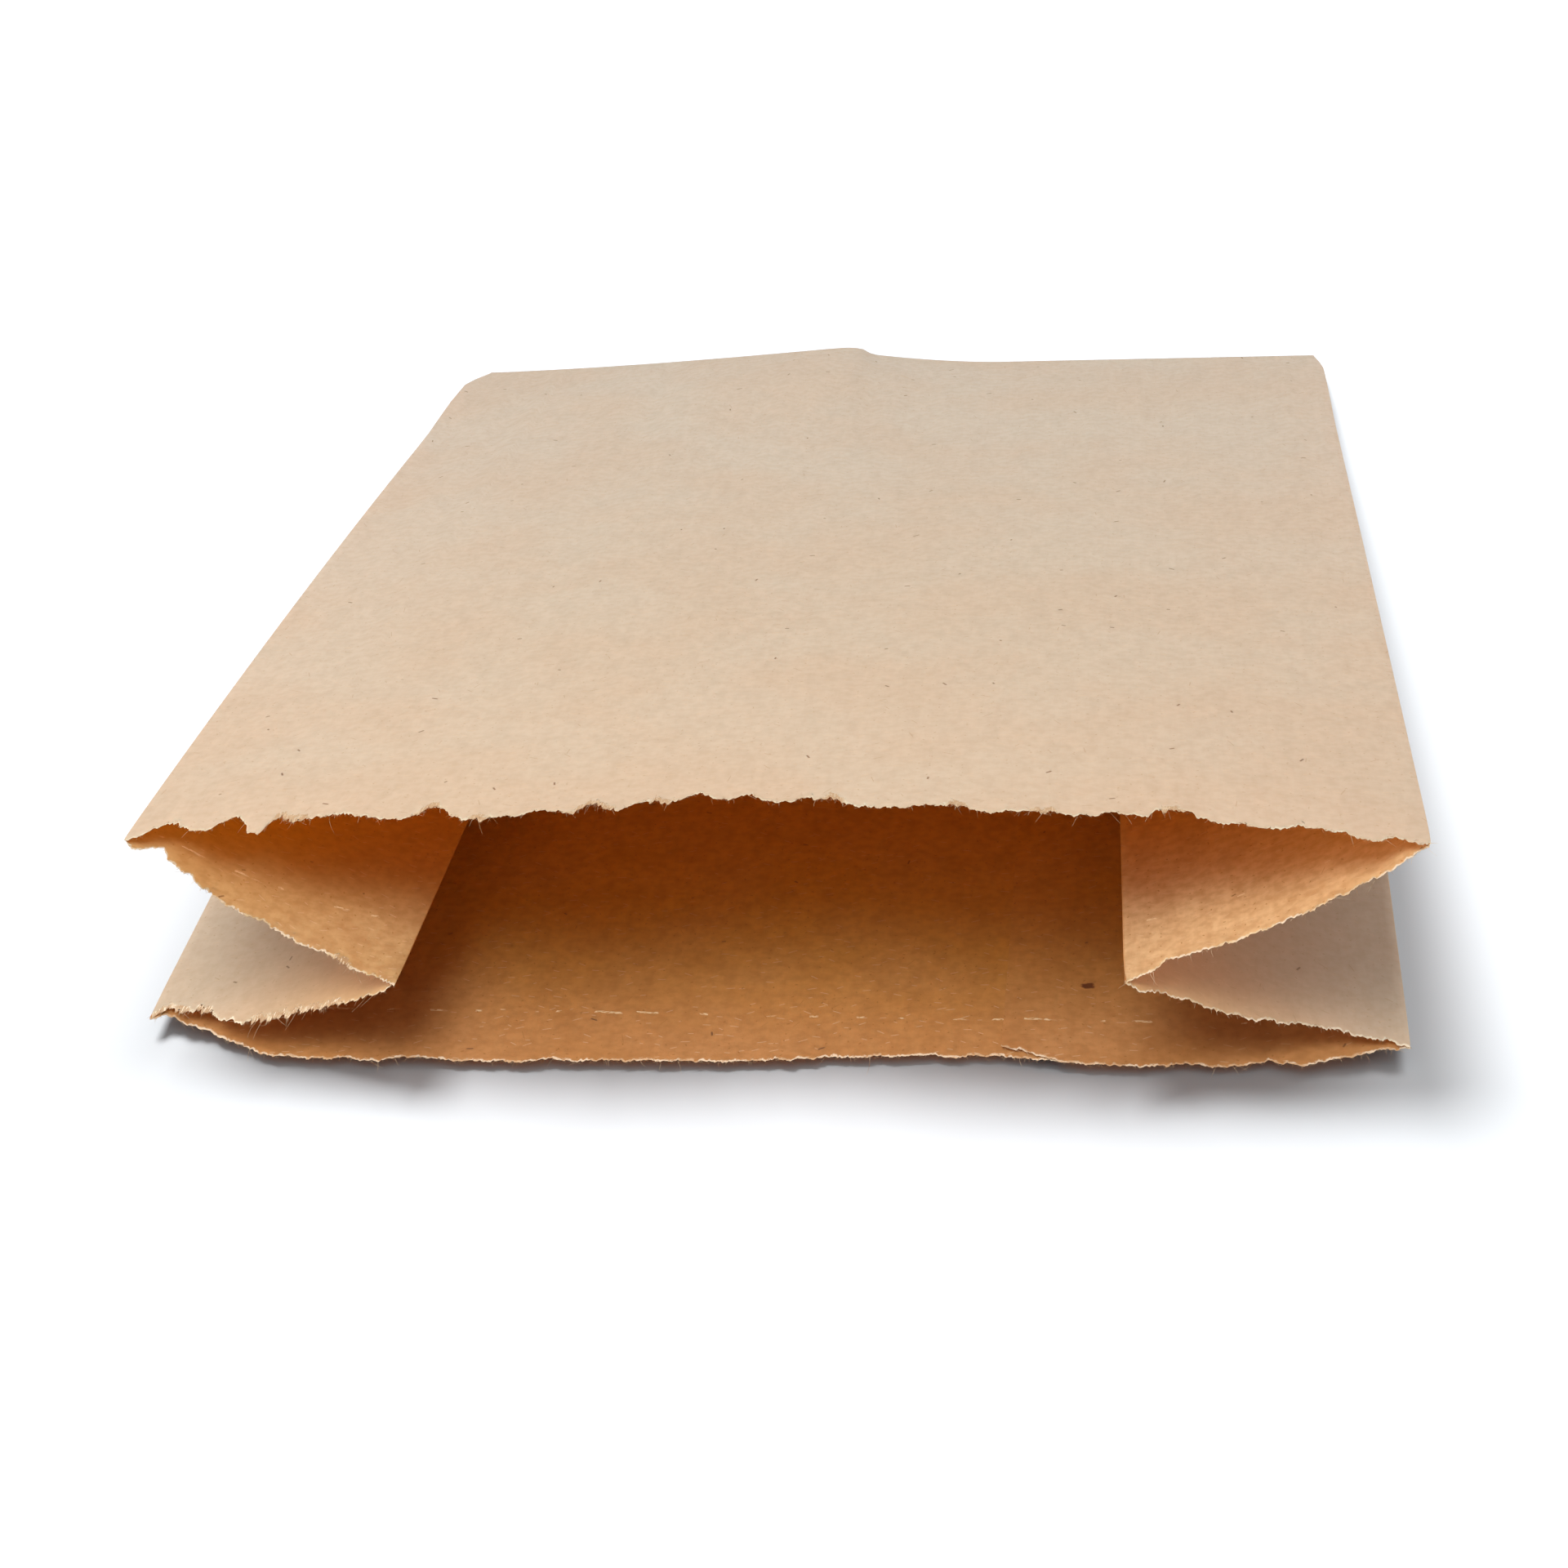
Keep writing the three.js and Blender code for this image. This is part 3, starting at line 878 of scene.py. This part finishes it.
def strokes(wire, place, kind):
    """Short strokes strewn over the blank, as a mask from 0 to 1."""
    spot = spread(wire, place, (kind.cell, kind.cell), kind.seed)
    sockets = {"Vector": spot, "Scale": 1.0}
    cells = wire.node("ShaderNodeTexVoronoi", {"voronoi_dimensions": "2D"}, sockets, "Color")
    chance, turn, size = cells.parts()
    sockets = {0: spot, 1: cells.beside("Position")}
    right, up, _ = wire.node("ShaderNodeVectorMath", {"operation": "SUBTRACT"}, sockets).parts()
    angle = (turn - 0.5) * (2 * kind.turn)
    cosine = wire.maths("COSINE", angle)
    sine = wire.maths("SINE", angle)
    half_lengths = 2 * kind.cell / kind.length
    half_widths = 2 * kind.cell / kind.width
    along = wire.maths("ABSOLUTE", right * cosine + up * sine) * half_lengths / (STROKE_SHORTEST + size)
    across = wire.maths("ABSOLUTE", up * cosine - right * sine) * half_widths
    chosen = chance.ramp(1 - kind.share, 1 - kind.share + STROKE_CHANCE_BLUR)
    return (1 - along.ramp(*STROKE_END)) * (1 - across.ramp(*STROKE_SIDE)) * chosen


PANEL_BLUR = 0.3  # how softly a tone ends at a panel's edge


def between(girth, first, last):
    """1 on the panels from the start of one up to the start of another, and 0 beyond them."""
    low = girth_of(first, 0)
    high = girth_of(last, 0)
    begun = girth.ramp(low - PANEL_BLUR, low + PANEL_BLUR)
    ended = girth.ramp(high - PANEL_BLUR, high + PANEL_BLUR)
    return begun * (1 - ended)


# One face of the paper: its colour at the mouth and further in, which carries painted light (outside, a sheen
# towards the closed end; inside, warm bounce light deeper in), how far in that is reached, the colour of its
# dark pulp, how strongly its pulp, blotches, streaks along the length, pale fibres and dust show, and its
# painted light and shade (tone) and its marks
Face = namedtuple("Face", "near far reach dark pulp blotches streaks fibres dust tone marks")
CLOUD_SHARE = 0.16
DARK_FIBRE_SHARE = 0.6
SPECK_SHARE = 0.9

# The torn strip: how deep the tear goes, how much deeper in a tuft, and how much of its core shows
TORN_SHALLOWEST = 0.15
TORN_WIDTH = 1.1
TORN_TUFT_WIDTH = 2.4
TORN_BLUR = 0.15
TORN_FRONT_BROWN = 0.7
TORN_TUFT_BROWN = 0.9
CORE_LEAST = 0.3
CORE_MORE = 0.6  # where it lies bare
CORE_IN_TUFT = 0.9
CORE_STRAND_SHARE = 0.6
CORE_TUFT_BROWN = 0.8

# A surface: the strength and depth of its bumps, its least roughness, and how much its pattern adds to that
Surface = namedtuple("Surface", "bumps depth rough rougher")
KRAFT_SURFACE = Surface(0.35, 0.06, 0.5, 0.16)
CORE_SURFACE = Surface(0.5, 0.08, 0.85, 0.1)
FIBRE_SURFACE = Surface(0.2, 0.01, 0.8, 0.1)
PULP_HEIGHT = 0.5
TOOTH_HEIGHT = 0.5
PALE_HEIGHT = 0.2
FIBRE_SHADES = 600.0  # changes of shade in a metre of loose fibre
FIBRE_SHADE_LIMITS = (0.52, 0.6)


def kraft(name, face):
    """Kraft paper: cloudy pulp, pale and dark fibres strewn along the width, and a pale torn edge."""
    material, wire = new_material(name)
    place = wire.node("ShaderNodeUVMap", {"uv_map": SHEET_MAP})
    pulp = grain(wire, place, PULP)
    pale = strokes(wire, place, PALE_FIBRES)
    torn, core, bare = torn_edge(wire, place)
    colour = wire.tint(pulp_colour(wire, place, face, pulp, pale), core, torn * bare)
    height = pulp * PULP_HEIGHT + grain(wire, place, TOOTH) * TOOTH_HEIGHT + pale * PALE_HEIGHT
    finish_paper(wire, colour, KRAFT_SURFACE, pulp, height, SEE_THROUGH_SHARE * (1 - torn))
    return material


def pulp_colour(wire, place, face, pulp, pale):
    """The colour of one face, from its pulp, its fibres and its marks."""
    _, inset, _ = place.parts()
    # painted light: outside, a sheen that grows towards the closed end; inside, warm bounce light deeper in
    colour = wire.tint(face.near, face.far, inset.ramp(0, face.reach))
    # painted light and shade of the face: browned side folds outside, lit gusset lips inside
    colour = face.tone(wire, place, colour)
    for over, mask in (
        (WARM_PULP, patches(wire, place, CLOUDS) * CLOUD_SHARE),
        (face.dark, pulp.ramp(*PULP.limits) * face.pulp),
        (face.dark, patches(wire, place, BLOTCHES) * face.blotches),
        (face.dark, patches(wire, place, STREAKS) * face.streaks),
        (PALE_FLECK, pale * face.fibres),
        (face.dark, strokes(wire, place, DARK_FIBRES) * DARK_FIBRE_SHARE),
        (face.dark, strokes(wire, place, DUST) * face.dust),
        (SPECK, strokes(wire, place, SPECKS) * SPECK_SHARE),
    ):
        colour = wire.tint(colour, over, mask)
    return face.marks(wire, place, colour) if face.marks else colour


def torn_edge(wire, place):
    """Along the tear: a mask of the torn strip, the colour of its core, and how much of that shows."""
    girth, _, _ = place.parts()
    frayed, from_tear, _ = wire.node("ShaderNodeUVMap", {"uv_map": TEAR_MAP}).parts()
    depth = grain(wire, place, TEAR_DEPTH)
    reach = (depth - TORN_SHALLOWEST) * TORN_WIDTH + frayed * depth * TORN_TUFT_WIDTH
    torn = 1 - (from_tear - reach).ramp(-TORN_BLUR, TORN_BLUR)
    core = wire.tint(TORN, TORN_BROWN, between(girth, "front", "upper_left") * TORN_FRONT_BROWN)
    # in the tufts the brown is partly painted shade, where the pulled paper faces away from the light
    core = wire.tint(core, FIBRE_BROWN, frayed * patches(wire, place, PULLED) * TORN_TUFT_BROWN)
    bare = CORE_LEAST + patches(wire, place, BARE_CORE) * CORE_MORE
    return torn, core, bare.most(frayed * CORE_IN_TUFT)


def finish_paper(wire, colour, surface, pattern, height, see_through):
    """A matt surface that lets a share of the light through."""
    sockets = {"Strength": surface.bumps, "Distance": surface.depth * MM, "Height": height}
    bump = wire.node("ShaderNodeBump", None, sockets)
    rough = surface.rough + pattern * surface.rougher
    matt = wire.node(
        "ShaderNodeBsdfPrincipled",
        None,
        {"Base Color": colour, "Roughness": rough, "Specular IOR Level": 1.0, "Normal": bump},
    )
    glow = wire.node("ShaderNodeBsdfTranslucent", None, {"Color": (*SEE_THROUGH, 1)})
    both = wire.node("ShaderNodeMixShader", None, {0: see_through, 1: matt, 2: glow})
    wire.node("ShaderNodeOutputMaterial", None, {"Surface": both})


# Tones and marks of the two faces: painted shade that browns the tuck outside, and inside painted light on
# two paler lips, a row of pale dashes and a dark knot
TUCK_SHADE_SHARE = 0.85
LIT_LIP_LEFT = (4, 28)  # where the painted light on each upper gusset's lip starts to fade, and where it has gone
LIT_LIP_RIGHT = (10, 46)
LIT_LIP_SHARE = 0.9
DASH_INSET = 10
DASH_PITCH = 7.7
DASH_LENGTH = 2.6
DASH_WIDTH = 0.3
DASH_FULL_LENGTH = 0.7  # share of its length and of its width at which a dash starts to fade
DASH_FULL_WIDTH = 0.4
DASH_STRAY_ALONG = 2.5  # how far dashes stray along their row, in pitches, and off it
DASH_STRAY_OFF = 1.5
DASH_PALE = (0.96, 0.80, 0.46)
KNOT_X = 51.3
KNOT_INSET = 18.9
KNOT_SIZE = (1.3, 0.75)
KNOT_EDGE = (0.4, 1.2)
KNOT_UNEVEN = 1.2
KNOT = (0.06, 0.03, 0.015)


def outside_painted_shade(wire, place, colour):
    """Painted shade: the outside is browner towards the bottom of each side fold, where shade and warm bounce
    light fall.
    """
    girth, _, _ = place.parts()
    for tuck in ("upper_right", "lower_left"):
        away = wire.maths("ABSOLUTE", girth - girth_of(tuck, 0))
        colour = wire.tint(colour, OUTSIDE_TUCK_SHADE, (1 - away.ramp(0, GUSSET_DEPTH)) * TUCK_SHADE_SHARE)
    return colour


def inside_painted_light(wire, place, colour):
    """Painted light: the inside is paler along the lips of the upper gussets, where light falls in at the
    mouth, and more so on the right-hand one.
    """
    girth, inset, _ = place.parts()
    for first, last, pale, fade in (
        ("upper_right", "front", INSIDE_RIGHT_LIT, LIT_LIP_RIGHT),
        ("upper_left", "lower_left", INSIDE_LEFT_LIT, LIT_LIP_LEFT),
    ):
        lip = between(girth, first, last) * (1 - inset.ramp(*fade))
        colour = wire.tint(colour, pale, lip * LIT_LIP_SHARE)
    return colour


def inside_marks(wire, place, colour):
    """Pale marks pressed into the inside along the mouth, and one dark knot in the pulp of the back."""
    girth, inset, _ = place.parts()
    stray = grain(wire, place, DASH_STRAY)
    step = wire.maths("FRACT", girth / DASH_PITCH + stray * DASH_STRAY_ALONG) * DASH_PITCH
    off_row = wire.maths("ABSOLUTE", inset - DASH_INSET - (stray - 0.5) * DASH_STRAY_OFF)
    dash = 1 - step.ramp(DASH_LENGTH * DASH_FULL_LENGTH, DASH_LENGTH)
    dash *= 1 - off_row.ramp(DASH_WIDTH * DASH_FULL_WIDTH, DASH_WIDTH)
    dash *= stray.ramp(*DASH_STRAY.limits) * patches(wire, place, DASH_BREAKS)
    colour = wire.tint(colour, DASH_PALE, dash)
    across = (girth - girth_of("back_right", KNOT_X - LAP_START_X)) / KNOT_SIZE[0]
    along = (inset - KNOT_INSET) / KNOT_SIZE[1]
    uneven = (grain(wire, place, KNOT_LUMPS) - 0.5) * KNOT_UNEVEN
    knot = 1 - (across * across + along * along + uneven).ramp(*KNOT_EDGE)
    return wire.tint(colour, KNOT, knot)


OUTSIDE_FACE = Face(
    near=OUTSIDE, far=OUTSIDE_FAR_SHEEN, reach=LENGTH, dark=DARK_FLECK,
    pulp=0.15, blotches=0.06, streaks=0.05, fibres=0.3, dust=0.4, tone=outside_painted_shade, marks=None,
)
INSIDE_FACE = Face(
    near=INSIDE, far=INSIDE_FAR_WARM_BOUNCE, reach=45, dark=INSIDE_FLECK,
    pulp=0.38, blotches=0.18, streaks=0.09, fibres=0.5, dust=0.8, tone=inside_painted_light, marks=inside_marks,
)


def torn_core():
    """The paper's own core, seen on its torn and cut edges."""
    material, wire = new_material("kraft_core")
    place = wire.node("ShaderNodeUVMap", {"uv_map": SHEET_MAP})
    frayed, _, _ = wire.node("ShaderNodeUVMap", {"uv_map": TEAR_MAP}).parts()
    strands = grain(wire, place, CORE_STRANDS)
    colour = wire.tint(TORN, PALE_FLECK, strands.ramp(*CORE_STRANDS.limits) * CORE_STRAND_SHARE)
    bare = CORE_LEAST + patches(wire, place, BARE_CORE) * (1 - CORE_LEAST)
    colour = wire.tint(INSIDE, colour, bare)
    # in the tufts the brown is partly painted shade, where the pulled paper faces away from the light
    colour = wire.tint(colour, FIBRE_BROWN, frayed * CORE_TUFT_BROWN)
    finish_paper(wire, colour, CORE_SURFACE, strands, strands, CORE_SEE_THROUGH)
    return material


def loose_fibre():
    """Single fibres, some pale and some brown."""
    material, wire = new_material("kraft_fibre")
    place = wire.node("ShaderNodeTexCoord", None, None, output="Object")
    shades = wire.node("ShaderNodeTexNoise", None, {"Vector": place, "Scale": FIBRE_SHADES, "Detail": 1.0})
    colour = wire.tint(FIBRE_PALE, FIBRE_BROWN, shades.ramp(*FIBRE_SHADE_LIMITS))
    finish_paper(wire, colour, FIBRE_SURFACE, shades, shades, CORE_SEE_THROUGH)
    return material


def seen_straight(wire):
    """1 for what the camera, a reflection or a glass sees, and 0 for light on its way to other surfaces."""
    camera_ray = wire.node("ShaderNodeLightPath", None, None, output="Is Camera Ray")
    glossy_ray = camera_ray.beside("Is Glossy Ray")
    return camera_ray.most(glossy_ray).most(camera_ray.beside("Is Transmission Ray"))


def studio_floor():
    """A plain pale floor just under the bag."""
    bpy.ops.mesh.primitive_plane_add(size=FLOOR_SIZE * MM, location=(0, 0, -FLOOR_DROP * MM))
    floor = bpy.context.object
    floor.name = "floor"
    bpy.ops.object.transform_apply(location=True, rotation=False, scale=False)
    material, wire = new_material("floor_white")
    white = wire.tint(FLOOR_BOUNCE, FLOOR_SEEN, seen_straight(wire))
    shader = wire.node("ShaderNodeBsdfDiffuse", None, {"Color": white})
    wire.node("ShaderNodeOutputMaterial", None, {"Surface": shader})
    floor.data.materials.append(material)
    return floor


def add_lamp(name, kind, place, power):
    """A lamp that shines from a place towards the bag."""
    data = bpy.data.lights.new(name, kind)
    data.energy = power
    lamp = bpy.data.objects.new(name, data)
    lamp.location = Vector(place) * MM
    lamp.rotation_mode = "QUATERNION"
    lamp.rotation_quaternion = Vector(place).to_track_quat("Z", "Y")
    bpy.context.scene.collection.objects.link(lamp)
    return lamp


def light_alone(lamp, pieces):
    """Lets a lamp light only some pieces."""
    lit = bpy.data.collections.new("lit_by_" + lamp.name)
    for piece in pieces:
        lit.objects.link(piece)
    lamp.light_linking.receiver_collection = lit


def studio_lamps(floor, pieces):
    """Soft lamps for the bag alone, and suns for the floor alone, of which the place is only a direction."""
    key = add_lamp("key", "AREA", KEY_PLACE, KEY_POWER)
    key.data.size = KEY_SIZE * MM
    light_alone(key, pieces)
    for name, place, power in (("left", LEFT_PLACE, LEFT_POWER), ("right", RIGHT_PLACE, RIGHT_POWER)):
        side = add_lamp(name, "AREA", place, power)
        side.data.size = SIDE_SIZE * MM
        light_alone(side, pieces)
    for name, place, power in (
        ("floor_left", FLOOR_LEFT_FROM, FLOOR_LEFT_STRENGTH),
        ("floor_right", FLOOR_RIGHT_FROM, FLOOR_RIGHT_STRENGTH),
    ):
        sun = add_lamp(name, "SUN", place, power)
        sun.data.angle = FLOOR_SUN_ANGLE
        light_alone(sun, [floor])


def studio_room():
    """The white room as light, and a plain white backdrop where it is seen."""
    world = bpy.data.worlds.new("room")
    world.use_nodes = True
    world.node_tree.nodes.clear()
    bpy.context.scene.world = world
    wire = Wire(world.node_tree)
    _, back, up = wire.node("ShaderNodeTexCoord", None, None, output="Generated").parts()
    behind = back.most(0) * back.most(0)
    overhead = up.most(0) * up.most(0)
    strength = ROOM_LEVEL + (ROOM_OVERHEAD - ROOM_LEVEL) * overhead + ROOM_BEHIND * behind
    room = wire.node("ShaderNodeBackground", None, {"Color": WHITE, "Strength": strength})
    backdrop = wire.node("ShaderNodeBackground", None, {"Color": WHITE, "Strength": BACKDROP_LEVEL})
    seen = wire.node("ShaderNodeMixShader", None, {0: seen_straight(wire), 1: room, 2: backdrop})
    wire.node("ShaderNodeOutputWorld", None, {"Surface": seen})


def camera():
    """A camera where the photograph was taken from."""
    data = bpy.data.cameras.new("camera")
    data.lens = CAMERA_LENS
    data.sensor_width = CAMERA_SENSOR
    data.clip_start = CAMERA_NEAREST * MM
    data.clip_end = CAMERA_FURTHEST * MM
    ahead = Vector((
        math.sin(CAMERA_YAW) * math.cos(CAMERA_PITCH),
        math.cos(CAMERA_YAW) * math.cos(CAMERA_PITCH),
        -math.sin(CAMERA_PITCH),
    ))
    level = Vector((math.cos(CAMERA_YAW), -math.sin(CAMERA_YAW), 0))
    over = level.cross(ahead)
    right = level * math.cos(CAMERA_ROLL) + over * math.sin(CAMERA_ROLL)
    up = over * math.cos(CAMERA_ROLL) - level * math.sin(CAMERA_ROLL)
    turn = Matrix((right, up, -ahead)).transposed().to_4x4()
    made = bpy.data.objects.new("camera", data)
    made.matrix_world = Matrix.Translation(Vector(CAMERA_PLACE) * MM) @ turn
    bpy.context.scene.collection.objects.link(made)
    bpy.context.scene.camera = made


bpy.ops.object.select_all(action="DESELECT")
camera()
studio_room()
floor = studio_floor()
bpy.ops.object.select_all(action="DESELECT")
outside = kraft("kraft_outside", OUTSIDE_FACE)
inside = kraft("kraft_inside", INSIDE_FACE)
bag = paper_bag([outside, inside, torn_core()])
fibres = torn_fibres(loose_fibre())
studio_lamps(floor, [bag, fibres])
for piece in (bag, fibres):
    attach(piece, "root")
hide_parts("paper_bag")
flat_size = (GIRTH * MM, (LENGTH + FLAP_LENGTH) * MM)

bpy.context.scene.view_settings.view_transform = "Standard"
